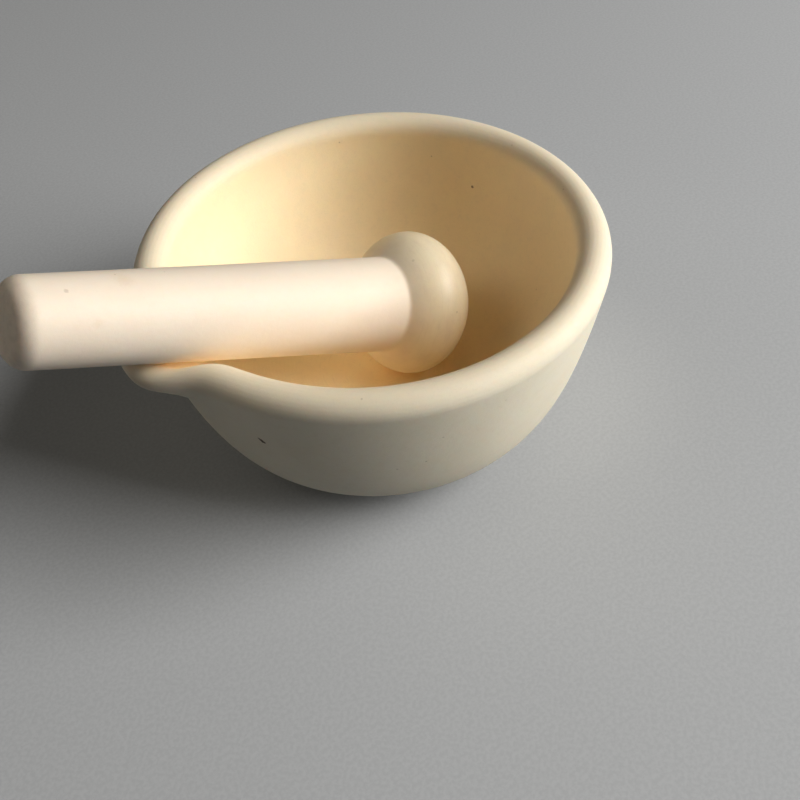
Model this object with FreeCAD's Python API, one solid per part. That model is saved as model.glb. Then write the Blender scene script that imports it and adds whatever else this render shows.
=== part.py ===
import FreeCAD, Part
import math
import os

# Laboratory mortar and pestle in sintered alumina ceramic.
# Frame: origin at the centre of the mortar's flat foot, +Z up, the pouring spout towards -X.
# The pestle leans in the spout, its axis in the XZ plane, its head on the floor of the bowl.

# Mortar, millimetres and degrees
RIM_RADIUS = 50.0          # outside of the rim, away from the spout
HEIGHT = 48.0              # top of the rim
LIP_RADIUS = 3.6           # the rim is a half round this large
FOOT_RADIUS = 25.0         # flat face that the mortar stands on
FLOOR_HEIGHT = 8.6         # inside floor above the foot
WALL_LEAN = 9.8            # slope of the outer wall just under the rim
WALL_REACH = 34.0          # how far the outer wall keeps that slope
FOOT_FLARE = 23.5          # slope of the outer wall where it leaves the foot
FOOT_REACH = 16.0          # how far the outer wall keeps that slope
BOWL_REACH = 25.5          # how far the inner wall runs down from the lip before it turns
BOWL_DRAFT = 1.2           # how far it closes in on the way
FLOOR_REACH = 28.5         # how far the floor stays nearly flat from the axis

# Spout: the rim is pulled outwards and slightly down
SPOUT_OUT = 8.0            # how far the rim is pulled out at the middle of the spout
SPOUT_DIP = 3.0            # how far it drops there
SPOUT_DEPTH = 14.0         # how far below the rim the pull fades out
SPOUT_HALF_ANGLE = 12.0    # half width of the beak
SHOULDER_HALF_ANGLE = 21.0 # half width of the soft shoulders beside it
SHOULDER_SHARE = 0.14      # share of the pull that the shoulders take
PATCH_HALF_ANGLE = 64.0    # beyond this angle the mortar is a plain turned shape

# Pestle
HEAD_RADIUS = 16.1         # across the head
HEAD_HALF_LENGTH = 11.2    # along the pestle's axis
NECK_RADIUS = 10.5         # handle where it meets the head
WAIST_RADIUS = 9.75        # pulls the handle's side slightly hollow
WAIST_Z = 32.0             # where it does, from the middle of the head
END_RADIUS = 8.3           # handle near its free end
END_ROUNDING = 3.4         # rounded edge of the free end
END_CROWN = 0.5            # how far the free end bulges
HANDLE_REACH = 92.0        # from the middle of the head to the free end
PESTLE_SLOPE = 26.8        # the leaning pestle's angle above the horizontal
HEAD_X = 8.1               # middle of the head, on the side away from the spout
HEAD_Z = 24.2

PATCH_COLUMNS = 65         # points across the spout patch
LIP_ROWS = 11              # points over the half round of the rim
WALL_ROWS = 12             # points down each wall of the spout patch
JOIN_TOLERANCE = 0.001     # largest gap between edges that are joined into one
HALVINGS = 50              # steps when a place on a curve is found by halving

UP = FreeCAD.Vector(0, 0, 1)
ORIGIN = FreeCAD.Vector(0, 0, 0)


def profile_point(radius, height):
    """A point of the mortar's half section, drawn in the XZ plane on the +X side."""
    return FreeCAD.Vector(radius, 0, height)


def bezier(points):
    curve = Part.BezierCurve()
    curve.setPoles(points)
    return curve


def outer_wall():
    """Outer wall from the edge of the foot up to where the lip's round starts."""
    lean = math.radians(WALL_LEAN)
    flare = math.radians(FOOT_FLARE)
    top_r = RIM_RADIUS - LIP_RADIUS + LIP_RADIUS * math.cos(lean)
    top_z = HEIGHT - LIP_RADIUS - LIP_RADIUS * math.sin(lean)
    return bezier([
        profile_point(FOOT_RADIUS, 0),
        profile_point(FOOT_RADIUS + FOOT_REACH * math.cos(flare), FOOT_REACH * math.sin(flare)),
        profile_point(top_r - WALL_REACH * math.sin(lean), top_z - WALL_REACH * math.cos(lean)),
        profile_point(top_r, top_z),
    ])


def inner_wall():
    """Inner wall from the inside of the lip down to the middle of the floor."""
    top_r = RIM_RADIUS - 2 * LIP_RADIUS
    top_z = HEIGHT - LIP_RADIUS
    return bezier([
        profile_point(top_r, top_z),
        profile_point(top_r - BOWL_DRAFT, top_z - BOWL_REACH),
        profile_point(FLOOR_REACH, FLOOR_HEIGHT),
        profile_point(0, FLOOR_HEIGHT),
    ])


def parameter_at_height(curve, height):
    """Where a wall curve crosses a height, by halving."""
    low, high = 0.0, 1.0
    rising = curve.value(1).z > curve.value(0).z
    for _ in range(HALVINGS):
        middle = (low + high) / 2
        if (curve.value(middle).z < height) == rising:
            low = middle
        else:
            high = middle
    return (low + high) / 2


def lip_point(angle):
    return profile_point(RIM_RADIUS - LIP_RADIUS + LIP_RADIUS * math.cos(angle),
                         HEIGHT - LIP_RADIUS + LIP_RADIUS * math.sin(angle))


def lip_arc():
    """The half round of the rim, from the outer wall over the top to the inner wall."""
    start = -math.radians(WALL_LEAN)
    return Part.Arc(lip_point(start), lip_point(math.pi / 2), lip_point(math.pi))


def spout_share(angle):
    """How much of the spout's pull reaches an angle from its middle: 1 there, 0 far away."""
    beak = math.exp(-abs(angle / SPOUT_HALF_ANGLE) ** 3)
    shoulder = math.exp(-(angle / SHOULDER_HALF_ANGLE) ** 2)
    return (1 - SHOULDER_SHARE) * beak + SHOULDER_SHARE * shoulder


def depth_share(height):
    """How much of the pull reaches a height: 1 at the rim, fading smoothly to 0."""
    share = (height - (HEIGHT - SPOUT_DEPTH)) / SPOUT_DEPTH
    share = min(max(share, 0.0), 1.0)
    return share * share * (3 - 2 * share)


def pulled(point, angle):
    """A half-section point carried to an angle from the spout's middle, and pulled by the spout."""
    pull = spout_share(angle) * depth_share(point.z)
    radius = point.x + SPOUT_OUT * pull
    turn = math.radians(180 + angle)
    return FreeCAD.Vector(radius * math.cos(turn), radius * math.sin(turn), point.z - SPOUT_DIP * pull)


def band_points(outer, inner, outer_start, inner_end):
    """Half-section points of the spout patch: up the outer wall, over the lip, down the inner wall."""
    points = [outer.value(outer_start + (1 - outer_start) * i / WALL_ROWS) for i in range(WALL_ROWS)]
    start = -math.radians(WALL_LEAN)
    points += [lip_point(start + (math.pi - start) * i / LIP_ROWS) for i in range(LIP_ROWS)]
    points += [inner.value(inner_end * i / WALL_ROWS) for i in range(WALL_ROWS + 1)]
    return points


def spout_patch(points):
    """One smooth surface through the pulled points, from one side of the spout to the other."""
    step = 2 * PATCH_HALF_ANGLE / (PATCH_COLUMNS - 1)
    angles = [-PATCH_HALF_ANGLE + step * i for i in range(PATCH_COLUMNS)]
    surface = Part.BSplineSurface()
    surface.interpolate([[pulled(point, angle) for point in points] for angle in angles])
    return surface.toShape()


def turned(edge, first_angle, sweep):
    """The face that an edge of the half section sweeps round the mortar's axis."""
    placed = edge.copy()
    placed.rotate(ORIGIN, UP, first_angle)
    return placed.revolve(ORIGIN, UP, sweep)


def mortar():
    outer = outer_wall()
    inner = inner_wall()
    band_bottom = HEIGHT - SPOUT_DEPTH
    outer_start = parameter_at_height(outer, band_bottom)
    inner_end = parameter_at_height(inner, band_bottom)
    plain_first = 180 + PATCH_HALF_ANGLE
    plain_sweep = 360 - 2 * PATCH_HALF_ANGLE
    faces = [Part.Face(Part.Wire(Part.makeCircle(FOOT_RADIUS, ORIGIN, UP)))]
    for first, sweep in ((plain_first, plain_sweep), (180 - PATCH_HALF_ANGLE, 2 * PATCH_HALF_ANGLE)):
        faces += turned(outer.toShape(0, outer_start), first, sweep).Faces
        faces += turned(inner.toShape(inner_end, 1), first, sweep).Faces
    for edge in (outer.toShape(outer_start, 1), lip_arc().toShape(), inner.toShape(0, inner_end)):
        faces += turned(edge, plain_first, plain_sweep).Faces
    faces += spout_patch(band_points(outer, inner, outer_start, inner_end)).Faces
    return closed_solid(faces)


def closed_solid(faces):
    """Faces whose edges nearly agree, joined along shared edges into one solid."""
    joined, _ = faces[0].generalFuse(faces[1:], JOIN_TOLERANCE)
    skin = Part.makeCompound(joined.Faces)
    skin.sewShape()
    return Part.Solid(skin.Shells[0])


def head_arc(neck_z):
    """Oval side of the head, from the working tip up to the neck."""
    oval = Part.Ellipse(profile_point(HEAD_RADIUS, 0), profile_point(0, HEAD_HALF_LENGTH), ORIGIN)
    return Part.ArcOfEllipse(oval, -math.pi / 2, math.asin(neck_z / HEAD_HALF_LENGTH)).toShape()


def pestle():
    """Head and handle turned as one piece about +Z, then leaned over into the spout."""
    neck_z = HEAD_HALF_LENGTH * math.sqrt(1 - (NECK_RADIUS / HEAD_RADIUS) ** 2)
    shoulder_z = HANDLE_REACH - END_CROWN - END_ROUNDING
    flat_radius = END_RADIUS - END_ROUNDING
    shoulder = profile_point(END_RADIUS, shoulder_z)
    flat_edge = profile_point(flat_radius, shoulder_z + END_ROUNDING)
    round_middle = profile_point(flat_radius + END_ROUNDING * math.sqrt(0.5),
                                 shoulder_z + END_ROUNDING * math.sqrt(0.5))
    top = profile_point(0, HANDLE_REACH)
    handle = bezier([profile_point(NECK_RADIUS, neck_z), profile_point(WAIST_RADIUS, WAIST_Z), shoulder])
    crown = bezier([flat_edge, profile_point(flat_radius / 2, HANDLE_REACH), top])
    tip = profile_point(0, -HEAD_HALF_LENGTH)
    outline = Part.Wire([
        head_arc(neck_z),
        handle.toShape(),
        Part.Arc(shoulder, round_middle, flat_edge).toShape(),
        crown.toShape(),
        Part.makeLine(top, tip),
    ])
    turned_pestle = Part.Face(outline).revolve(ORIGIN, UP, 360)
    turned_pestle.rotate(ORIGIN, FreeCAD.Vector(0, 1, 0), PESTLE_SLOPE - 90)
    turned_pestle.translate(FreeCAD.Vector(HEAD_X, 0, HEAD_Z))
    return turned_pestle


def main():
    os.makedirs("parts", exist_ok=True)
    shapes = {"mortar": mortar(), "pestle": pestle()}
    for node, shape in shapes.items():
        shape.exportStep("parts/" + node + ".step")
        box = shape.BoundBox
        print(node, shape.ShapeType, "valid", shape.isValid(), "volume", round(shape.Volume),
              "x", round(box.XMin, 2), round(box.XMax, 2), "y", round(box.YMin, 2), round(box.YMax, 2),
              "z", round(box.ZMin, 2), round(box.ZMax, 2))
    gap, points, _ = shapes["mortar"].distToShape(shapes["pestle"])
    print("clearance", round(gap, 3), "at", [round(value, 1) for value in points[0][0]])


main()
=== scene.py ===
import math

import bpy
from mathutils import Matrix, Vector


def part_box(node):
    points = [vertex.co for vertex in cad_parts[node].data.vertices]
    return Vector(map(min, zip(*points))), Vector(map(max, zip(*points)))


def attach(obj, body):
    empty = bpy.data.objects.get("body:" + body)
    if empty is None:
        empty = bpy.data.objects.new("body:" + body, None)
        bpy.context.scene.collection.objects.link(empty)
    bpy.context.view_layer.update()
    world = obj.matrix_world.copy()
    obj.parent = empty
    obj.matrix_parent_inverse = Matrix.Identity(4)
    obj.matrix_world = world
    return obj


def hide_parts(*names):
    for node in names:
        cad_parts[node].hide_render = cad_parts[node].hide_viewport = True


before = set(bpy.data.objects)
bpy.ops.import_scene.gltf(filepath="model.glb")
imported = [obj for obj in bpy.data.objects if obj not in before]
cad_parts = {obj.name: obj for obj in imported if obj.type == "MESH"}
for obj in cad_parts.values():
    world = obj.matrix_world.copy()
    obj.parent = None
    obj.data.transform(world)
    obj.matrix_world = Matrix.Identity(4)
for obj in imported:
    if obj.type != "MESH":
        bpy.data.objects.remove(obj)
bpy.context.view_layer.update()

# %% [markdown]
# # A mortar and pestle in unglazed alumina
# The mortar is one thick-walled bowl: a half section turned round an axis, with a pouring lip
# pulled out of its rim. The pestle is one club, a slim handle that ends in a wide oval head.
# Both are pressed, turned, fired hard and left without glaze, so the looks are all in soft
# curves, a warm white body and very small marks. The packed frame already says how large
# everything is, so the first cell measures it and nothing here is placed by eye.

MM = 0.001
mortar_low, mortar_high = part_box("mortar")
RIM_RADIUS = mortar_high.x / MM
HEIGHT = mortar_high.z / MM
print("rim radius", round(RIM_RADIUS, 2), "mm, height", round(HEIGHT, 2), "mm")

# %% [markdown]
# The camera comes early, so that every later choice can be looked at. It stands where a person
# leans over a bench: well above the rim, in front and to the spout's side, head slightly tilted.
# It could be set by three angles, but a place and an aim, in millimetres from the centre of the
# foot, are easier to think about, and the small tilt is one more turn about the line of sight.

# %% Camera
CAMERA_PLACE = Vector((-86.4, -145.4, 174.9)) * MM
CAMERA_AIM = Vector((1.0, -4.2, 0.0)) * MM
CAMERA_TILT = math.radians(-5.44)
LENS = 45.0
NEAREST_VIEW = 10 * MM

facing = (CAMERA_AIM - CAMERA_PLACE).to_track_quat("-Z", "Y").to_matrix().to_4x4()
tilt = Matrix.Rotation(CAMERA_TILT, 4, "Z")
camera_data = bpy.data.cameras.new("bench_view")
camera_data.lens = LENS
camera_data.clip_start = NEAREST_VIEW
camera = bpy.data.objects.new("bench_view", camera_data)
camera.matrix_world = Matrix.Translation(CAMERA_PLACE) @ facing @ tilt
bpy.context.scene.collection.objects.link(camera)
bpy.context.scene.camera = camera
print("camera", round((CAMERA_PLACE - CAMERA_AIM).length / MM), "mm from its aim")

# %% [markdown]
# Node trees are easier to read as sums than as boxes and wires. `Wire` wraps one output socket
# and lets Python's own signs add the Math nodes, in both orders, so `1 - mask` works too.
# `Graph.node` adds every other kind of node: its settings come first, because a Math node's
# operation or a noise's dimensions change which sockets it has, and its inputs come after them.
# The same pair of classes writes the geometry tree, the ceramic finishes and the bench.

# %% Two small classes for node trees


class Wire:
    """An output socket that can be added, multiplied and compared like a number."""

    def __init__(self, graph, socket):
        self.graph = graph
        self.socket = socket

    def maths(self, operation, *inputs):
        return self.graph.node("ShaderNodeMath", {"operation": operation}, inputs)

    def __add__(self, other):
        return self.maths("ADD", self, other)

    def __sub__(self, other):
        return self.maths("SUBTRACT", self, other)

    def __rsub__(self, other):
        return self.maths("SUBTRACT", other, self)

    def __mul__(self, other):
        return self.maths("MULTIPLY", self, other)

    def __truediv__(self, other):
        return self.maths("DIVIDE", self, other)

    def __rtruediv__(self, other):
        return self.maths("DIVIDE", other, self)

    def __pow__(self, other):
        return self.maths("POWER", self, other)

    def __neg__(self):
        return self.maths("MULTIPLY", self, -1.0)

    def __abs__(self):
        return self.maths("ABSOLUTE", self)

    def exponential(self):
        return self.maths("EXPONENT", self)

    def sine(self):
        return self.maths("SINE", self)

    def cosine(self):
        return self.maths("COSINE", self)

    def parts(self):
        """The X, Y and Z of a vector, as three wires."""
        split = self.graph.node("ShaderNodeSeparateXYZ", None, [self]).socket.node
        return [Wire(self.graph, split.outputs[name]) for name in ("X", "Y", "Z")]

    def ramp(self, start, end):
        """0 before start, 1 after end and a smooth step between; start may be the larger."""
        return self.graph.node("ShaderNodeMapRange", {"interpolation_type": "SMOOTHSTEP"},
                               {"Value": self, "From Min": start, "From Max": end})

    __radd__ = __add__
    __rmul__ = __mul__


class Graph:
    """A node tree that is written to by calls."""

    def __init__(self, tree):
        self.tree = tree

    def node(self, kind, settings=None, inputs=(), output=0):
        made = self.tree.nodes.new(kind)
        for name, value in (settings or {}).items():
            setattr(made, name, value)
        pairs = inputs.items() if isinstance(inputs, dict) else enumerate(inputs)
        for key, value in pairs:
            if isinstance(value, Wire):
                self.tree.links.new(value.socket, made.inputs[key])
            else:
                made.inputs[key].default_value = value
        return Wire(self, made.outputs[output])


print("a wire knows:", ", ".join(name for name in vars(Wire) if not name.startswith("__")))

# %% [markdown]
# A half section is the outline of one side of the clay, from the axis round to the axis. It
# could be a list of many points, but then every round is a row of flats. Here it is a chain of
# cubic Bezier pieces, each four (radius, height) pairs in millimetres, so the wall is one piece
# and a quarter round is one piece. `cut` splits a piece by halving between its points, and
# `ease` uses it to soften a corner the way a damp sponge does before firing.

# %% Drawing a half section
WALK_STEPS = 40


def between(a, b, share):
    return tuple(a[i] + (b[i] - a[i]) * share for i in (0, 1))


def straight(a, b):
    return [a, between(a, b, 1 / 3), between(a, b, 2 / 3), b]


def bowed(a, pull, b):
    """A gentle bend from a to b, drawn towards one point."""
    return [a, between(a, pull, 2 / 3), between(b, pull, 2 / 3), b]


def arc(centre, radius, first, last):
    """One cubic for up to a quarter circle, angles in radians, anticlockwise."""
    reach = 4 / 3 * math.tan((last - first) / 4) * radius
    a = (centre[0] + radius * math.cos(first), centre[1] + radius * math.sin(first))
    b = (centre[0] + radius * math.cos(last), centre[1] + radius * math.sin(last))
    return [a, (a[0] - reach * math.sin(first), a[1] + reach * math.cos(first)),
            (b[0] + reach * math.sin(last), b[1] - reach * math.cos(last)), b]


def cut(cubic, share):
    """The two halves of a piece, split at a share of its run."""
    level = cubic
    first, second = [cubic[0]], [cubic[3]]
    while len(level) > 1:
        level = [between(a, b, share) for a, b in zip(level, level[1:])]
        first.append(level[0])
        second.insert(0, level[-1])
    return first, second


def run_length(cubic):
    """How long a piece is, walked in short steps."""
    places = [cut(cubic, step / WALK_STEPS)[1][0] for step in range(WALK_STEPS)] + [cubic[3]]
    return sum(math.dist(a, b) for a, b in zip(places, places[1:]))


def ease(before, after, size):
    """Two pieces that meet in a corner, with the corner softened over a size."""
    shortened = cut(before, 1 - size / run_length(before))[0]
    rest = cut(after, size / run_length(after))[1]
    return [shortened, bowed(shortened[3], after[0], rest[0]), rest]


eased_edge = ease(straight((0, 0), (9, 0)), straight((9, 0), (9, 5)), 1)
print("a square edge eased over 1 mm is", len(eased_edge), "pieces,",
      round(sum(run_length(piece) for piece in eased_edge), 2), "mm round instead of 14")

# %% [markdown]
# Blender keeps a Bezier spline as knots, each with a handle on both sides. So the cubic pieces
# share their ends: a knot's left handle comes from the piece before it and its right handle
# from the piece after it. All handles are free, because the corners here are meant.

# %% From pieces to one spline
CURVE_STEPS = 48


def section_curve(name, cubics):
    curve = bpy.data.curves.new(name, "CURVE")
    curve.dimensions = "3D"
    curve.resolution_u = CURVE_STEPS
    spline = curve.splines.new("BEZIER")
    spline.bezier_points.add(len(cubics))
    for index, knot in enumerate(spline.bezier_points):
        before = cubics[index - 1] if index else None
        after = cubics[index] if index < len(cubics) else None
        place = after[0] if after else before[3]
        left = before[2] if before else place
        right = after[1] if after else place
        knot.handle_left_type = "FREE"
        knot.handle_right_type = "FREE"
        knot.co = (place[0] * MM, 0, place[1] * MM)
        knot.handle_left = (left[0] * MM, 0, left[1] * MM)
        knot.handle_right = (right[0] * MM, 0, right[1] * MM)
    section = bpy.data.objects.new(name, curve)
    bpy.context.scene.collection.objects.link(section)
    print(name, len(cubics), "pieces,", round(sum(run_length(c) for c in cubics), 1), "mm round")
    return section


# %% [markdown]
# A potter's wheel does one thing: it carries a profile round. Screw or Spin could do that, but
# the pouring lip has to be pulled as well, so the wheel is a Geometry Nodes tree. It lays out a
# flat grid, reads the half section once per row and swings each column round the axis. The pull
# is a rule: a narrow bell for the beak, a wide bell for its soft shoulders, and a smooth step
# that lets the pull fade below the rim. A hint of unevenness, a few hundredths of a millimetre,
# keeps the walls from looking machined; it fades out just above `Even Below`, so that a foot
# stays flat. The distance travelled along the section is kept as an attribute, `travel`, so
# that a finish can tell foot, wall, rim and bowl apart. It is stored on the flat grid, because
# a field is read where it is used, and once the points have moved it would come out wrong.
# Seam and poles are merged, and the tree ends with the mesh made real and its material set.

# %% The wheel: a Geometry Nodes lathe with a pulled lip
WHEEL_INPUTS = {
    "Columns": ("NodeSocketInt", 320),
    "Rows": ("NodeSocketInt", 230),
    "Rim Height": ("NodeSocketFloat", HEIGHT * MM),
    "Spout Out": ("NodeSocketFloat", 0.0),
    "Spout Dip": ("NodeSocketFloat", 0.0),
    "Spout Depth": ("NodeSocketFloat", 14.0 * MM),
    "Beak Half Angle": ("NodeSocketFloat", math.radians(12.0)),
    "Shoulder Half Angle": ("NodeSocketFloat", math.radians(21.0)),
    "Shoulder Share": ("NodeSocketFloat", 0.14),
    "Unevenness": ("NodeSocketFloat", 0.07 * MM),
    "Unevenness Size": ("NodeSocketFloat", 11.0 * MM),
    "Even Below": ("NodeSocketFloat", -1.0),
    "Seed": ("NodeSocketFloat", 4.0),
    "Finish": ("NodeSocketMaterial", None),
}
MERGE_DISTANCE = 0.002 * MM
EVEN_STEP = 2.0 * MM
BEAK_SHARPNESS = 3.0
SHOULDER_SHARPNESS = 2.0


def wheel_sockets(tree):
    tree.interface.new_socket("Geometry", in_out="INPUT", socket_type="NodeSocketGeometry")
    tree.interface.new_socket("Geometry", in_out="OUTPUT", socket_type="NodeSocketGeometry")
    for name, (kind, value) in WHEEL_INPUTS.items():
        socket = tree.interface.new_socket(name, in_out="INPUT", socket_type=kind)
        if value is not None:
            socket.default_value = value


def bell(turn, half_angle, sharpness):
    return (-(abs(turn / half_angle) ** sharpness)).exponential()


def wheel_tree():
    tree = bpy.data.node_groups.new("wheel", "GeometryNodeTree")
    wheel_sockets(tree)
    g = Graph(tree)
    entry = tree.nodes.new("NodeGroupInput")
    given = {name: Wire(g, entry.outputs[name]) for name in ["Geometry", *WHEEL_INPUTS]}

    grid = g.node("GeometryNodeMeshGrid", None, {
        "Size X": 1.0, "Size Y": 1.0, "Vertices X": given["Columns"] + 1, "Vertices Y": given["Rows"]})
    across, along, _ = g.node("GeometryNodeInputPosition").parts()
    share = along + 0.5
    turn = across * (2 * math.pi)
    section = g.node("GeometryNodeSampleCurve", {"mode": "FACTOR", "use_all_curves": True},
                     {"Curves": given["Geometry"], "Factor": share}, "Position")
    radius, _, height = section.parts()
    travel = g.node("GeometryNodeCurveLength", None, [given["Geometry"]]) * share

    share_of_beak = 1 - given["Shoulder Share"]
    beak = bell(turn, given["Beak Half Angle"], BEAK_SHARPNESS) * share_of_beak
    shoulders = bell(turn, given["Shoulder Half Angle"], SHOULDER_SHARPNESS) * given["Shoulder Share"]
    below_rim = given["Rim Height"] - given["Spout Depth"]
    pull = (beak + shoulders) * height.ramp(below_rim, given["Rim Height"])
    pulled = radius + given["Spout Out"] * pull
    spot = g.node("ShaderNodeCombineXYZ", None, [
        -(pulled * turn.cosine()), -(pulled * turn.sine()), height - given["Spout Dip"] * pull])

    marked = g.node("GeometryNodeStoreNamedAttribute", {"data_type": "FLOAT", "domain": "POINT"}, {
        "Geometry": grid, "Name": "travel", "Value": travel})
    turned = g.node("GeometryNodeSetPosition", None, {"Geometry": marked, "Position": spot})
    closed = g.node("GeometryNodeMergeByDistance", None, {
        "Geometry": turned, "Distance": MERGE_DISTANCE})
    lift = g.node("GeometryNodeInputPosition").parts()[2]
    above = lift.ramp(given["Even Below"], given["Even Below"] + EVEN_STEP)
    waves = g.node("ShaderNodeTexNoise", {"noise_dimensions": "4D"}, {
        "W": given["Seed"], "Scale": 1 / given["Unevenness Size"], "Detail": 1.0})
    offset = g.node("ShaderNodeVectorMath", {"operation": "SCALE"}, {
        0: g.node("GeometryNodeInputNormal"), "Scale": (waves - 0.5) * given["Unevenness"] * above})
    uneven = g.node("GeometryNodeSetPosition", None, {"Geometry": closed, "Offset": offset})
    smooth = g.node("GeometryNodeSetShadeSmooth", None, {"Geometry": uneven, "Shade Smooth": True})
    real = g.node("GeometryNodeRealizeInstances", None, [smooth])
    finished = g.node("GeometryNodeSetMaterial", None, {"Geometry": real, "Material": given["Finish"]})
    leave = tree.nodes.new("NodeGroupOutput")
    tree.links.new(finished.socket, leave.inputs["Geometry"])
    return tree


wheel = wheel_tree()
print("wheel tree has", len(wheel.nodes), "nodes")

# %% [markdown]
# The tree runs as a modifier on the half-section curve. Each named input is found by its
# identifier and set before the object is first evaluated. The evaluated result is then copied
# to a plain mesh, which is what moves, exports and renders; the curve and its modifier go.
# A piece that leans gets its place here too, in its mesh, so its object stays at the origin.

# %% Running the wheel


def turn_piece(name, section, values, placed=Matrix.Identity(4)):
    modifier = section.modifiers.new("wheel", "NODES")
    modifier.node_group = wheel
    for item in wheel.interface.items_tree:
        if item.in_out == "INPUT" and item.name in values:
            modifier[item.identifier] = values[item.name]
    seen = section.evaluated_get(bpy.context.evaluated_depsgraph_get())
    mesh = bpy.data.meshes.new_from_object(seen)
    curve = section.data
    section.modifiers.remove(modifier)
    bpy.data.objects.remove(section)
    bpy.data.curves.remove(curve)
    mesh.transform(placed)
    mesh.name = name
    piece = bpy.data.objects.new(name, mesh)
    bpy.context.scene.collection.objects.link(piece)
    triangles = sum(len(face.vertices) - 2 for face in mesh.polygons)
    print(name, len(mesh.vertices), "points,", triangles, "triangles")
    return piece


print("wheel inputs:", ", ".join(WHEEL_INPUTS))

# %% [markdown]
# Fired alumina is never one colour. It has soft clouds where the body dried unevenly, a mottle
# of a millimetre or two, a fine sugary grain, and a few dark iron specks. Image textures could
# hold these, but they stretch at the pole of a bowl, so everything is a solid pattern read from
# Object coordinates. Sizes are in millimetres: a noise's scale is one over its size. Each
# pattern is the same noise, read somewhere else, so that no two of them agree.

# %% Patterns in the ceramic body
MIX_SHARE, MIX_FIRST, MIX_SECOND, MIX_COLOUR_RESULT = 0, 6, 7, 2
RAGGED_SIZE = 0.5


def elsewhere(g, place, seed):
    """The same coordinates, carried off so that two patterns of one kind never agree."""
    return g.node("ShaderNodeVectorMath", {"operation": "ADD"}, [place, Vector((seed, -seed, 2 * seed))])


def noise(g, place, size, seed, detail=2.0, roughness=0.5):
    """A solid noise whose features are about a size in millimetres, from 0 to 1."""
    return g.node("ShaderNodeTexNoise", None, {
        "Vector": elsewhere(g, place, seed), "Scale": 1 / (size * MM),
        "Detail": detail, "Roughness": roughness})


def body_patterns(g, place, sizes, seed):
    """The patterns that the marks are made from: clouds, mottle, grain and a ragged edge."""
    clouds = noise(g, place, sizes["clouds"], seed + 1.0, detail=3.0)
    mottle = noise(g, place, sizes["mottle"], seed + 2.0, detail=3.0, roughness=0.6)
    grain = noise(g, place, sizes["grain"], seed + 3.0, roughness=0.7)
    ragged = noise(g, place, RAGGED_SIZE, seed + 5.0)
    return clouds, mottle, grain, ragged


def tint(g, share, first, second):
    """Two colours mixed, where the share is 0 the first and where it is 1 the second."""
    return g.node("ShaderNodeMix", {"data_type": "RGBA"},
                  {MIX_SHARE: share, MIX_FIRST: first, MIX_SECOND: second}, MIX_COLOUR_RESULT)


def shown(pattern, mark):
    """A pattern as a share of tint: where it starts to show, where it is full, how strong."""
    start, full, strength = mark
    return pattern.ramp(start, full) * strength


print("specks get a ragged edge in steps of", RAGGED_SIZE, "mm")

# %% [markdown]
# Some marks have a place or a direction. A speck is a small ball round a chosen point, with a
# ragged edge, and only its cut by the surface shows. The rare faint dots come from a pattern of
# cells, where a lot is drawn for each cell and most cells lose. Marks of grinding run round the
# axis, so their noise is stretched: slow along the turn, quick across it.

# %% Marks with a place or a direction
DISTANCE_RESULT = 1
EDGE_RAGGEDNESS = 0.9
SPECK_CORE = 0.5
DOT_CORE = 0.4
WINNING_LOT = (0.95, 0.97)


def dot(g, place, middle, size, ragged, core):
    """1 inside a small ball round a point in millimetres, 0 outside; the core is its full part."""
    far = g.node("ShaderNodeVectorMath", {"operation": "DISTANCE"},
                 [place, Vector(middle) * MM], DISTANCE_RESULT)
    return (far / (size * MM) + (ragged - 0.5) * EDGE_RAGGEDNESS).ramp(1.0, core)


def spotted(g, place, ragged, colour, spots, core, spot_colour):
    """The colour with chosen spots on it, each a middle, a size and a strength."""
    for middle, size, strength in spots:
        colour = tint(g, dot(g, place, middle, size, ragged, core) * strength, colour, spot_colour)
    return colour


def faint_dots(g, place, spacing, size, seed):
    """Rare faint dots all over: most cells of the pattern hold none."""
    cells = g.node("ShaderNodeTexVoronoi", None, {
        "Vector": elsewhere(g, place, seed), "Scale": 1 / (spacing * MM)}, "Distance").socket.node
    far = Wire(g, cells.outputs["Distance"])
    lot = Wire(g, cells.outputs["Color"]).parts()[0]
    reach = size / spacing
    return far.ramp(reach, reach * DOT_CORE) * lot.ramp(*WINNING_LOT)


def ring_marks(g, x, y, run, across, along, detail=2.0):
    """A noise drawn out round the Z axis: fine along the run, slow along the turn."""
    angle = y.maths("ARCTAN2", y, x)
    ring = g.node("ShaderNodeCombineXYZ", None, [
        angle.cosine() * along, angle.sine() * along, run / across])
    return g.node("ShaderNodeTexNoise", None, {"Vector": ring, "Scale": 1.0, "Detail": detail})


print("one cell in", round(1 / (1 - WINNING_LOT[0])), "may hold a faint dot")

# %% [markdown]
# A finish is a Principled shader with three things wired in: colour, roughness and a normal.
# Heights are added up in millimetres and one Bump node turns them into that normal. Light also
# sinks a millimetre or two into alumina and comes out again; that is the same all over, so it
# is set on the shader's own sockets. Deeper than this the piece starts to look like wax.

# %% A ceramic finish
GLOW_SHARE = 0.3
GLOW_REACH = (1.0, 0.6, 0.35)
GLOW_DEPTH = 2.0
MOTTLE_DULLS = 0.12
GRAIN_DULLS = 0.05


def body(name):
    """A new material: its graph, its shader and the object's own coordinates."""
    material = bpy.data.materials.new(name)
    material.use_nodes = True
    g = Graph(material.node_tree)
    shader = material.node_tree.nodes["Principled BSDF"]
    place = g.node("ShaderNodeTexCoord", None, (), "Object")
    return material, g, shader, place


def feed(g, shader, **inputs):
    """Wires what changes over the surface into the shader."""
    for name, wire in inputs.items():
        g.tree.links.new(wire.socket, shader.inputs[name.replace("_", " ")])


def dullness(base, mottle, grain, shine):
    """Roughness of the body: a little uneven, and less where it is worn smooth."""
    return base + (mottle - 0.5) * MOTTLE_DULLS - shine + grain * GRAIN_DULLS


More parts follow.
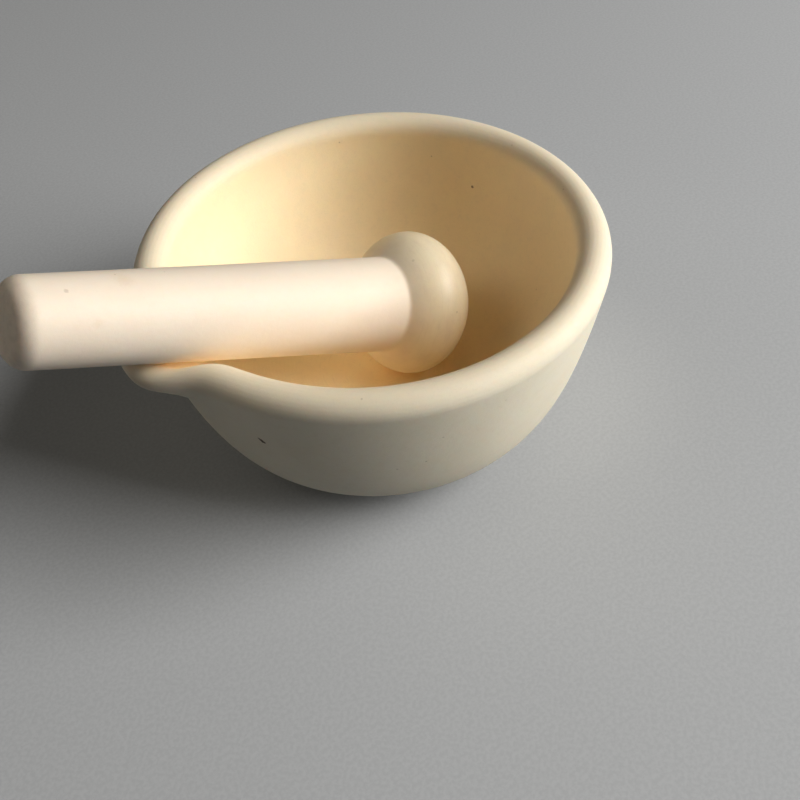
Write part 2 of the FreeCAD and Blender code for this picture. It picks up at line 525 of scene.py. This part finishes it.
def fire(g, shader, colour, rough, height):
    """The finish of a fired piece, from its colour, its roughness and its heights in millimetres."""
    bump = g.node("ShaderNodeBump", None, {"Height": height, "Distance": MM, "Strength": 1.0})
    feed(g, shader, Base_Color=colour, Roughness=rough, Normal=bump)
    shader.inputs["Subsurface Weight"].default_value = GLOW_SHARE
    shader.inputs["Subsurface Radius"].default_value = GLOW_REACH
    shader.inputs["Subsurface Scale"].default_value = GLOW_DEPTH * MM


print("red light sinks", GLOW_DEPTH * GLOW_REACH[0], "mm in, blue", GLOW_DEPTH * GLOW_REACH[2], "mm")

# %% [markdown]
# The mortar's half section starts in the middle of the foot, goes out over its eased edge and
# up the outer wall, over the half-round rim, down the inner wall and across the floor. The two
# walls are one cubic each: where they start, how they lean, and how long they keep that lean.
# These are worked out before the finish, because the finish has to know how far along the
# section the rim lies.

# %% Mortar: half section
LIP_RADIUS = 0.072 * RIM_RADIUS     # the rim is a half round this large
FOOT_RADIUS = 0.5 * RIM_RADIUS      # flat face that the mortar stands on
FLOOR_HEIGHT = 8.6                  # inside floor above the foot
WALL_LEAN = math.radians(9.8)       # slope of the outer wall under the rim
WALL_REACH = 34.0                   # how far the wall keeps that slope
FOOT_FLARE = math.radians(23.5)     # slope of the outer wall where it leaves the foot
FOOT_REACH = 16.0                   # how far the wall keeps that slope
BOWL_DRAFT = 1.2                    # how far the inner wall closes in on its way down
BOWL_REACH = 25.5                   # how far it runs down before it turns
FLOOR_REACH = 28.5                  # how far the floor stays nearly flat from the axis
FOOT_EASE = 1.2                     # softening of the foot's edge

lip_centre = (RIM_RADIUS - LIP_RADIUS, HEIGHT - LIP_RADIUS)
rim_out = arc(lip_centre, LIP_RADIUS, -WALL_LEAN, math.pi / 2)
rim_in = arc(lip_centre, LIP_RADIUS, math.pi / 2, math.pi)
foot_edge = (FOOT_RADIUS, 0.0)
foot_flare = (FOOT_RADIUS + FOOT_REACH * math.cos(FOOT_FLARE), FOOT_REACH * math.sin(FOOT_FLARE))
wall_top = rim_out[0]
wall_lean = (wall_top[0] - WALL_REACH * math.sin(WALL_LEAN),
             wall_top[1] - WALL_REACH * math.cos(WALL_LEAN))
outer_wall = [foot_edge, foot_flare, wall_lean, wall_top]
bowl_top = rim_in[3]
bowl_draft = (bowl_top[0] - BOWL_DRAFT, bowl_top[1] - BOWL_REACH)
inner_wall = [bowl_top, bowl_draft, (FLOOR_REACH, FLOOR_HEIGHT), (0.0, FLOOR_HEIGHT)]
foot_and_wall = ease(straight((0.0, 0.0), foot_edge), outer_wall, FOOT_EASE)
mortar_pieces = foot_and_wall + [rim_out, rim_in, inner_wall]
RIM_TRAVEL = sum(run_length(piece) for piece in foot_and_wall + [rim_out])
mortar_section = section_curve("mortar_section", mortar_pieces)
print("the top of the rim is", round(RIM_TRAVEL, 1), "mm along the section")

# %% [markdown]
# The mortar's finish. Outside it is a pale ivory; inside it is painted a warmer amber, which
# stands in for the light that bounces from wall to wall in the bowl: painted bounce light. The
# rim lies between the two and is tinted a little greyer and darker. `travel` says where a point
# lies along the section, so the change follows the shape and needs no mask painted by hand. On
# top come clouds, mottle, grain, turning lines left by the finishing tool, a rubbed and scuffed
# zone on the floor of the bowl, a grey worn line round the foot, and the iron specks. A speck is
# a middle, a size and a strength, and one of them is long: it is three balls in a row.

# %% Mortar: colours and marks
OUTSIDE_IVORY = (0.90, 0.845, 0.70, 1)
# painted bounce light: the inside's warmer amber stands in for light bounced from wall to wall
BOWL_BOUNCE_AMBER = (0.97, 0.825, 0.58, 1)
CLOUD_IVORY = (0.80, 0.72, 0.55, 1)
RIM_PEARL = (0.80, 0.745, 0.64, 1)
WEAR_GREY = (0.50, 0.47, 0.41, 1)
IRON_BROWN = (0.10, 0.055, 0.025, 1)
MORTAR_SIZES = {"clouds": 14.0, "mottle": 1.6, "grain": 0.32}
MORTAR_CLOUDS = (0.42, 0.75, 0.22)
MORTAR_MOTTLE = (0.45, 0.75, 0.16)
MORTAR_GRAIN = (0.52, 0.8, 0.14)
MORTAR_HEIGHTS = {"grain": 0.020, "mottle": 0.030, "turning": 0.0022, "scuffs": 0.004}
MORTAR_DULL = 0.60
MORTAR_SPECKS = [
    ((-42.5, -22.3, 33.4), 0.40, 0.6),
    ((-42.3, -22.6, 33.0), 0.55, 0.85),
    ((-42.0, -22.8, 32.5), 0.60, 0.9),
    ((38.8, 14.6, 34.1), 0.42, 0.7),
    ((21.0, 44.3, 33.0), 0.45, 0.6),
    ((-20.5, 15.5, 10.8), 0.40, 0.5),
]
print("mortar has", len(MORTAR_SPECKS), "placed specks, and its grain stands",
      MORTAR_HEIGHTS["grain"], "mm high")

# %% [markdown]
# Where a mark lies is a mask. Most masks open between two places along the section, given in
# millimetres past the top of the rim, so less than nothing is still outside. A mask that opens
# and one that closes, multiplied, are a band. The rubbed floor is a disc round the axis instead,
# and the clouds push its edge in and out so that it isn't a clean circle.

# %% Mortar: where the marks lie
INSIDE_OPENS = (-7.0, 3.0)
FLOOR_OPENS = (20.0, 30.0)
# a band round the rim, tinted greyer and a little darker
RIM_BAND_OPENS = (-8.0, -2.0)
RIM_BAND_CLOSES = (7.0, 2.0)
RUBBED_RADIUS = 23.0
RUBBED_FADE = 6.0
RUBBED_WANDER = 8.0
FOOT_WEAR_STARTS = 5.0
FOOT_WEAR_ENDS = 2.6
FOOT_WEAR_FULL = 0.6
FOOT_WEAR_BREAKS = (0.36, 0.6)


def past_rim(travel, places):
    start, full = places
    return travel.ramp(RIM_TRAVEL + start, RIM_TRAVEL + full)


def rubbed_floor(g, travel, radius, clouds):
    wandering = radius + clouds * RUBBED_WANDER
    disc = wandering.ramp(RUBBED_RADIUS + RUBBED_FADE, RUBBED_RADIUS - RUBBED_FADE)
    return past_rim(travel, FLOOR_OPENS) * disc


def worn_foot(travel, mottle):
    """A broken line round the foot, on its flat's outer rim and just over its eased edge."""
    under = travel.ramp(FOOT_RADIUS - FOOT_WEAR_STARTS, FOOT_RADIUS)
    over = travel.ramp(FOOT_RADIUS + FOOT_WEAR_ENDS, FOOT_RADIUS + FOOT_WEAR_FULL)
    return under * over * mottle.ramp(*FOOT_WEAR_BREAKS)


print("the floor's mask opens", FLOOR_OPENS[0], "to", FLOOR_OPENS[1], "mm past the top of the rim")

# %% [markdown]
# With the masks ready, the finish is a short list: each line lays one mark over the colour so
# far, at its own strength. The strengths are small, because a fired body is quiet, and the
# grain carries more of the look as height than as colour.

# %% Mortar: finish
TURNING_PITCH = 0.9
TURNING_WANDER = 9.0
SCUFF_EDGES = (0.60, 0.72)


def mortar_finish():
    material, g, shader, place = body("mortar_ceramic")
    x, y, _ = place.parts()
    flat = g.node("ShaderNodeCombineXYZ", None, [x, y, 0.0])
    radius = g.node("ShaderNodeVectorMath", {"operation": "LENGTH"}, [flat], "Value") / MM
    travel = g.node("ShaderNodeAttribute", {"attribute_name": "travel"}, (), "Fac") / MM
    clouds, mottle, grain, ragged = body_patterns(g, place, MORTAR_SIZES, seed=0.0)

    rim_band = past_rim(travel, RIM_BAND_OPENS) * past_rim(travel, RIM_BAND_CLOSES)
    rubbed = rubbed_floor(g, travel, radius, clouds)
    scuffs = ring_marks(g, x, y, radius, across=0.35, along=2.2).ramp(*SCUFF_EDGES) * rubbed
    phase = travel * (2 * math.pi / TURNING_PITCH) + clouds * TURNING_WANDER
    turning = phase.sine() * (1 - rubbed)

    # painted bounce light: past the rim the inside is tinted amber
    colour = tint(g, past_rim(travel, INSIDE_OPENS), OUTSIDE_IVORY, BOWL_BOUNCE_AMBER)
    # the rim band is tinted greyer and a little darker
    colour = tint(g, rim_band * (0.35 + mottle * 0.3), colour, RIM_PEARL)
    colour = tint(g, shown(clouds, MORTAR_CLOUDS), colour, CLOUD_IVORY)
    colour = tint(g, shown(mottle, MORTAR_MOTTLE), colour, CLOUD_IVORY)
    colour = tint(g, shown(grain, MORTAR_GRAIN), colour, WEAR_GREY)
    colour = tint(g, scuffs * 0.10, colour, WEAR_GREY)
    colour = tint(g, worn_foot(travel, mottle) * 0.5, colour, WEAR_GREY)
    dots = faint_dots(g, place, spacing=2.4, size=0.3, seed=7.0)
    colour = tint(g, dots * 0.30, colour, IRON_BROWN)
    colour = spotted(g, place, ragged, colour, MORTAR_SPECKS, SPECK_CORE, IRON_BROWN)

    raised = grain * MORTAR_HEIGHTS["grain"] + mottle * MORTAR_HEIGHTS["mottle"]
    height = raised + turning * MORTAR_HEIGHTS["turning"] - scuffs * MORTAR_HEIGHTS["scuffs"]
    fire(g, shader, colour, dullness(MORTAR_DULL, mottle, grain, rubbed * 0.14), height)
    return material


mortar_ceramic = mortar_finish()
print("mortar finish has", len(mortar_ceramic.node_tree.nodes), "nodes")

# %% [markdown]
# The bowl goes on the wheel. The pull of the spout is given here: 8 mm out and 3 mm down in
# its middle, fading 14 mm below the rim. 320 columns keep the pulled lip smooth; the quads are
# about a millimetre across, and everything finer than that belongs to the finish.

# %% Mortar: on the wheel
SPOUT_OUT = 8.0
SPOUT_DIP = 3.0

mortar = turn_piece("mortar_bowl", mortar_section, {
    "Columns": 320, "Rows": 230, "Spout Out": SPOUT_OUT * MM, "Spout Dip": SPOUT_DIP * MM,
    "Even Below": 0.0, "Finish": mortar_ceramic})
print("mortar stands", round(max(v.co.z for v in mortar.data.vertices) / MM, 2), "mm tall")

# %% [markdown]
# The pestle's half section runs from the working tip, round the oval head to the neck, along
# the slightly hollow handle and over the rounded free end. The oval is a circle's arc squeezed
# along the axis. Where the handle meets the head there is a crisp crease, but a fired crease is
# never a mathematical corner, so it is eased over half a millimetre and catches a thin light.

# %% Pestle: half section
HEAD_RADIUS = 16.1        # across the head
HEAD_HALF_LENGTH = 11.2   # along the pestle's axis
NECK_RADIUS = 10.5        # handle where it meets the head
NECK_EASE = 0.5           # softening of the crease there
WAIST = (9.75, 32.0)      # radius and height that pull the handle's side slightly hollow
END_RADIUS = 8.3          # handle near its free end
END_ROUNDING = 3.4        # rounded edge of the free end
END_CROWN = 0.5           # how far the free end bulges
HANDLE_REACH = 92.0       # from the middle of the head to the free end


def head_arc(first, last):
    squeeze = HEAD_HALF_LENGTH / HEAD_RADIUS
    return [(r, z * squeeze) for r, z in arc((0.0, 0.0), HEAD_RADIUS, first, last)]


neck_turn = math.acos(NECK_RADIUS / HEAD_RADIUS)
rounding_centre = (END_RADIUS - END_ROUNDING, HANDLE_REACH - END_CROWN - END_ROUNDING)
end_rounding = arc(rounding_centre, END_ROUNDING, 0.0, math.pi / 2)
crown = bowed(end_rounding[3], (rounding_centre[0] / 2, HANDLE_REACH), (0.0, HANDLE_REACH))
head_shoulder = head_arc(0.0, neck_turn)
handle_side = bowed(head_shoulder[3], WAIST, end_rounding[0])
neck = ease(head_shoulder, handle_side, NECK_EASE)
pestle_pieces = [head_arc(-math.pi / 2, 0.0)] + neck + [end_rounding, crown]
pestle_section = section_curve("pestle_section", pestle_pieces)

# %% [markdown]
# The pestle's finish is the same body fired a little whiter, and it is read along the pestle's
# own axis: a Mapping node undoes the lean, so Z runs from the head to the handle's end. The
# head is painted a warmer cream, which stands in for the amber light bounced up onto it from
# the bowl: painted bounce light. It is polished by grinding, most at the tip and fading towards
# the neck, with faint brown smudges and scuffs that run round it. The handle stays dull from the
# fingers, its free end is tinted a little grey, and it carries two faint tea-coloured stains.

# %% Pestle: colours and marks
PESTLE_SLOPE = math.radians(26.8)
HEAD_PLACE = (8.1, 0.0, 24.2)
HANDLE_WHITE = (0.86, 0.765, 0.655, 1)
# painted bounce light: the head's warmer cream stands in for amber light from the bowl
HEAD_BOUNCE_CREAM = (0.88, 0.78, 0.585, 1)
CLOUD_PINK = (0.79, 0.67, 0.55, 1)
STAIN = (0.62, 0.46, 0.26, 1)
SMUDGE_BROWN = (0.58, 0.48, 0.34, 1)
STAIN_CORE = 0.1
PESTLE_SIZES = {"clouds": 12.0, "mottle": 1.4, "grain": 0.30}
PESTLE_CLOUDS = (0.40, 0.75, 0.20)
PESTLE_MOTTLE = (0.45, 0.75)
PESTLE_GRAIN = (0.52, 0.8)
PESTLE_HEIGHTS = {"grain": 0.018, "mottle": 0.028, "scuffs": 0.004}
PESTLE_DULL = 0.56
PESTLE_SPECKS = [
    ((8.2, -3.4, 38.5), 0.38, 0.16),
    ((11.0, -14.8, 29.8), 0.35, 0.2),
    ((-62.4, -3.1, 68.6), 0.55, 0.22),
]
PESTLE_STAINS = [
    ((-52.1, -1.3, 64.2), 2.6, 0.16),
    ((-60.2, -7.6, 63.0), 1.3, 0.14),
]
lean_turn = PESTLE_SLOPE - math.pi / 2
print("pestle has", len(PESTLE_SPECKS), "specks and", len(PESTLE_STAINS), "stains")

# %% [markdown]
# The head's masks fade along the axis, between two heights in millimetres from the middle of
# the head. Each has a little of the clouds or the mottle added, so that no edge is a clean
# circle. Polishing also brings out the mottle and the grain, so those two have a plain strength
# and some more where the head is polished.

# %% Pestle: finish
HEAD_FADES = (12.0, 6.0)
POLISH_FADES = (9.5, 1.0)
USE_FADES = (10.0, 7.5)
END_GREY_SPAN = (HANDLE_REACH - END_ROUNDING - 1.0, HANDLE_REACH - 0.6)
MOTTLE_PLAIN = 0.10
MOTTLE_POLISHED = 0.14
GRAIN_PLAIN = 0.08
GRAIN_POLISHED = 0.12
HEAD_SCUFFS = (0.54, 0.72)
HEAD_SMUDGES = (0.44, 0.68)
END_GREY_BREAKS = (0.4, 0.7)


def pestle_finish():
    material, g, shader, place = body("pestle_ceramic")
    own = g.node("ShaderNodeMapping", {"vector_type": "TEXTURE"}, {
        "Vector": place, "Location": Vector(HEAD_PLACE) * MM, "Rotation": (0.0, lean_turn, 0.0)})
    x, y, z = own.parts()
    along = z / MM
    clouds, mottle, grain, ragged = body_patterns(g, own, PESTLE_SIZES, seed=10.0)

    # painted bounce light: where the head is tinted warmer cream
    head = (along + mottle * 3.0).ramp(*HEAD_FADES)
    polished = (along + clouds * 4.0).ramp(*POLISH_FADES)
    used = (along + clouds * 2.0).ramp(*USE_FADES)
    fine_rings = ring_marks(g, x, y, along, across=0.3, along=1.6)
    scuffs = fine_rings.ramp(*HEAD_SCUFFS) * used
    broad_rings = ring_marks(g, x, y, along, across=2.0, along=3.0, detail=3.0)
    smudges = broad_rings.ramp(*HEAD_SMUDGES) * used
    # the handle's free end is tinted a little grey
    grey_end = along.ramp(*END_GREY_SPAN) * mottle.ramp(*END_GREY_BREAKS)
    mottled = mottle.ramp(*PESTLE_MOTTLE) * (MOTTLE_PLAIN + polished * MOTTLE_POLISHED)
    grained = grain.ramp(*PESTLE_GRAIN) * (GRAIN_PLAIN + polished * GRAIN_POLISHED)

    # painted bounce light: the head is tinted warmer than the handle
    colour = tint(g, head, HANDLE_WHITE, HEAD_BOUNCE_CREAM)
    colour = tint(g, shown(clouds, PESTLE_CLOUDS), colour, CLOUD_PINK)
    colour = tint(g, mottled, colour, CLOUD_PINK)
    colour = tint(g, grained, colour, WEAR_GREY)
    colour = tint(g, smudges * 0.12, colour, SMUDGE_BROWN)
    colour = tint(g, scuffs * 0.07, colour, SMUDGE_BROWN)
    colour = tint(g, grey_end * 0.18, colour, WEAR_GREY)
    dots = faint_dots(g, own, spacing=2.4, size=0.28, seed=17.0)
    colour = tint(g, dots * 0.22, colour, IRON_BROWN)
    colour = spotted(g, place, ragged, colour, PESTLE_STAINS, STAIN_CORE, STAIN)
    colour = spotted(g, place, ragged, colour, PESTLE_SPECKS, SPECK_CORE, IRON_BROWN)

    raised = grain * PESTLE_HEIGHTS["grain"] + mottle * PESTLE_HEIGHTS["mottle"]
    height = raised - scuffs * PESTLE_HEIGHTS["scuffs"]
    fire(g, shader, colour, dullness(PESTLE_DULL, mottle, grain, polished * 0.22), height)
    return material


pestle_ceramic = pestle_finish()
print("pestle finish has", len(pestle_ceramic.node_tree.nodes), "nodes")

# %% [markdown]
# The club is turned standing up, on the same wheel with no pull, and then leaned over until its
# handle rests in the spout and its head on the floor. The lean goes into the mesh.

# %% Pestle: on the wheel
LEAN_OVER = Matrix.Translation(Vector(HEAD_PLACE) * MM) @ Matrix.Rotation(lean_turn, 4, "Y")

pestle = turn_piece("pestle_club", pestle_section, {
    "Columns": 200, "Rows": 260, "Seed": 9.0, "Finish": pestle_ceramic}, LEAN_OVER)
print("pestle reaches", round(min(v.co.x for v in pestle.data.vertices) / MM, 2), "mm along X")

# %% [markdown]
# The bench is a plain pale round top with a faint paper grain. An endless plane is quicker to
# make, but it runs right under the lamp, where it burns out, and a plain edge against a pale room
# reads better. A pale bench also throws light up under the belly and flattens it. So a Light Path
# node gives the bench two tones: pale where it is looked at, and darker for the light that it
# passes on.

# %% Bench
BENCH_RADIUS = 0.6
BENCH_THICKNESS = 0.02
BENCH_SIDES = 128
BENCH_GREY = (0.46, 0.48, 0.51, 1)
BENCH_PALE = (0.50, 0.52, 0.55, 1)
BENCH_BOUNCE = (0.27, 0.28, 0.30, 1)
BENCH_GRAIN = 0.8
BENCH_SEED = 21.0
BENCH_ROUGHNESS = 0.85


def bench_finish():
    material, g, shader, place = body("bench")
    grain = noise(g, place, BENCH_GRAIN, BENCH_SEED, 3.0, 0.6)
    paper = tint(g, grain.ramp(0.35, 0.65), BENCH_GREY, BENCH_PALE)
    looked_at = g.node("ShaderNodeLightPath", None, (), "Is Camera Ray")
    feed(g, shader, Base_Color=tint(g, looked_at, BENCH_BOUNCE, paper))
    shader.inputs["Roughness"].default_value = BENCH_ROUGHNESS
    return material


def bench_top():
    turns = [2 * math.pi * side / BENCH_SIDES for side in range(BENCH_SIDES)]
    ring = [(BENCH_RADIUS * math.cos(turn), BENCH_RADIUS * math.sin(turn)) for turn in turns]
    points = [(x, y, z) for z in (0.0, -BENCH_THICKNESS) for x, y in ring]
    top = list(range(BENCH_SIDES))
    following = top[1:] + top[:1]
    edge = [(i, i + BENCH_SIDES, j + BENCH_SIDES, j) for i, j in zip(top, following)]
    mesh = bpy.data.meshes.new("bench")
    mesh.from_pydata(points, [], [tuple(top)] + edge)
    mesh.materials.append(bench_finish())
    return bpy.data.objects.new("bench", mesh)


bench = bench_top()
bpy.context.scene.collection.objects.link(bench)
print("bench", 2 * BENCH_RADIUS, "m across")

# %% [markdown]
# One window does most of the work: a large soft box on the side, not high, so that the near
# wall falls into shade while the far side of the bowl is filled with light. Three weak warm
# boxes stand for the ceiling, the room and the wall across from the window. They keep the
# shadows open, and the last one keeps the back of the piece from going flat and dark.
# The bowl is so pale that light bounces many times before it leaves, which, with the amber
# painted inside it, turns its depths amber, so the bounces are allowed to go on.

# %% Light
DAYLIGHT = (1.0, 0.97, 0.92)
ROOM_LIGHT = (1.0, 0.92, 0.78)
WALL_LIGHT = (1.0, 0.95, 0.88)


def soft_light(name, direction, elevation, distance, size, power, colour):
    """A square soft box that looks at the middle of the bowl: degrees, metres and watts."""
    turn = math.radians(direction)
    rise = math.radians(elevation)
    away = Vector((math.cos(turn) * math.cos(rise), math.sin(turn) * math.cos(rise), math.sin(rise)))
    lamp = bpy.data.lights.new(name, "AREA")
    lamp.shape = "SQUARE"
    lamp.size = size
    lamp.energy = power
    lamp.color = colour
    target = Vector((0, 0, HEIGHT * MM / 2))
    turned = away.to_track_quat("Z", "Y").to_matrix().to_4x4()
    holder = bpy.data.objects.new(name, lamp)
    holder.matrix_world = Matrix.Translation(target + away * distance) @ turned
    bpy.context.scene.collection.objects.link(holder)
    return holder


soft_light("window", direction=-42.0, elevation=31.0, distance=1.3,
           size=0.9, power=29.0, colour=DAYLIGHT)
soft_light("ceiling", direction=150.0, elevation=84.0, distance=1.5,
           size=1.5, power=0.3, colour=ROOM_LIGHT)
soft_light("room", direction=150.0, elevation=46.0, distance=1.5,
           size=0.8, power=3.1, colour=ROOM_LIGHT)
soft_light("far_wall", direction=135.0, elevation=12.0, distance=1.3,
           size=0.7, power=1.0, colour=WALL_LIGHT)

# %% [markdown]
# The room itself is a World. As a light it is nearly dark, so that the shade stays deep, but
# looked at straight it is a pale wall, which a Light Path node tells apart. The picture is then
# developed: the plain Standard view, with a little contrast and half a stop less light.

# %% Room and picture
AIR_GLOW = 0.015
SEEN_GLOW = 0.42
AIR_COLOUR = (0.85, 0.88, 0.92, 1)
BOUNCES = 12


def room_air():
    """A dim room for the light, that is seen as a pale wall."""
    air = bpy.data.worlds.new("room_air")
    air.use_nodes = True
    g = Graph(air.node_tree)
    seen = g.node("ShaderNodeLightPath", None, (), "Is Camera Ray")
    background = air.node_tree.nodes["Background"]
    background.inputs["Color"].default_value = AIR_COLOUR
    g.tree.links.new((AIR_GLOW + seen * SEEN_GLOW).socket, background.inputs["Strength"])
    return air


picture = bpy.context.scene
picture.world = room_air()
picture.cycles.diffuse_bounces = BOUNCES
picture.view_settings.view_transform = "Standard"
picture.view_settings.look = "Medium High Contrast"
picture.view_settings.exposure = -0.5
print("picture:", picture.view_settings.look, "at", picture.view_settings.exposure, "stops")

# %% [markdown]
# Last comes the fit. Each piece rides on its body and stands for its plain twin in the frame,
# which is hidden.

# %% Fit to the frame
for piece, node, finish in ((mortar, "mortar", "mortar_ceramic"), (pestle, "pestle", "pestle_ceramic")):
    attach(piece, node)
    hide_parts(node)
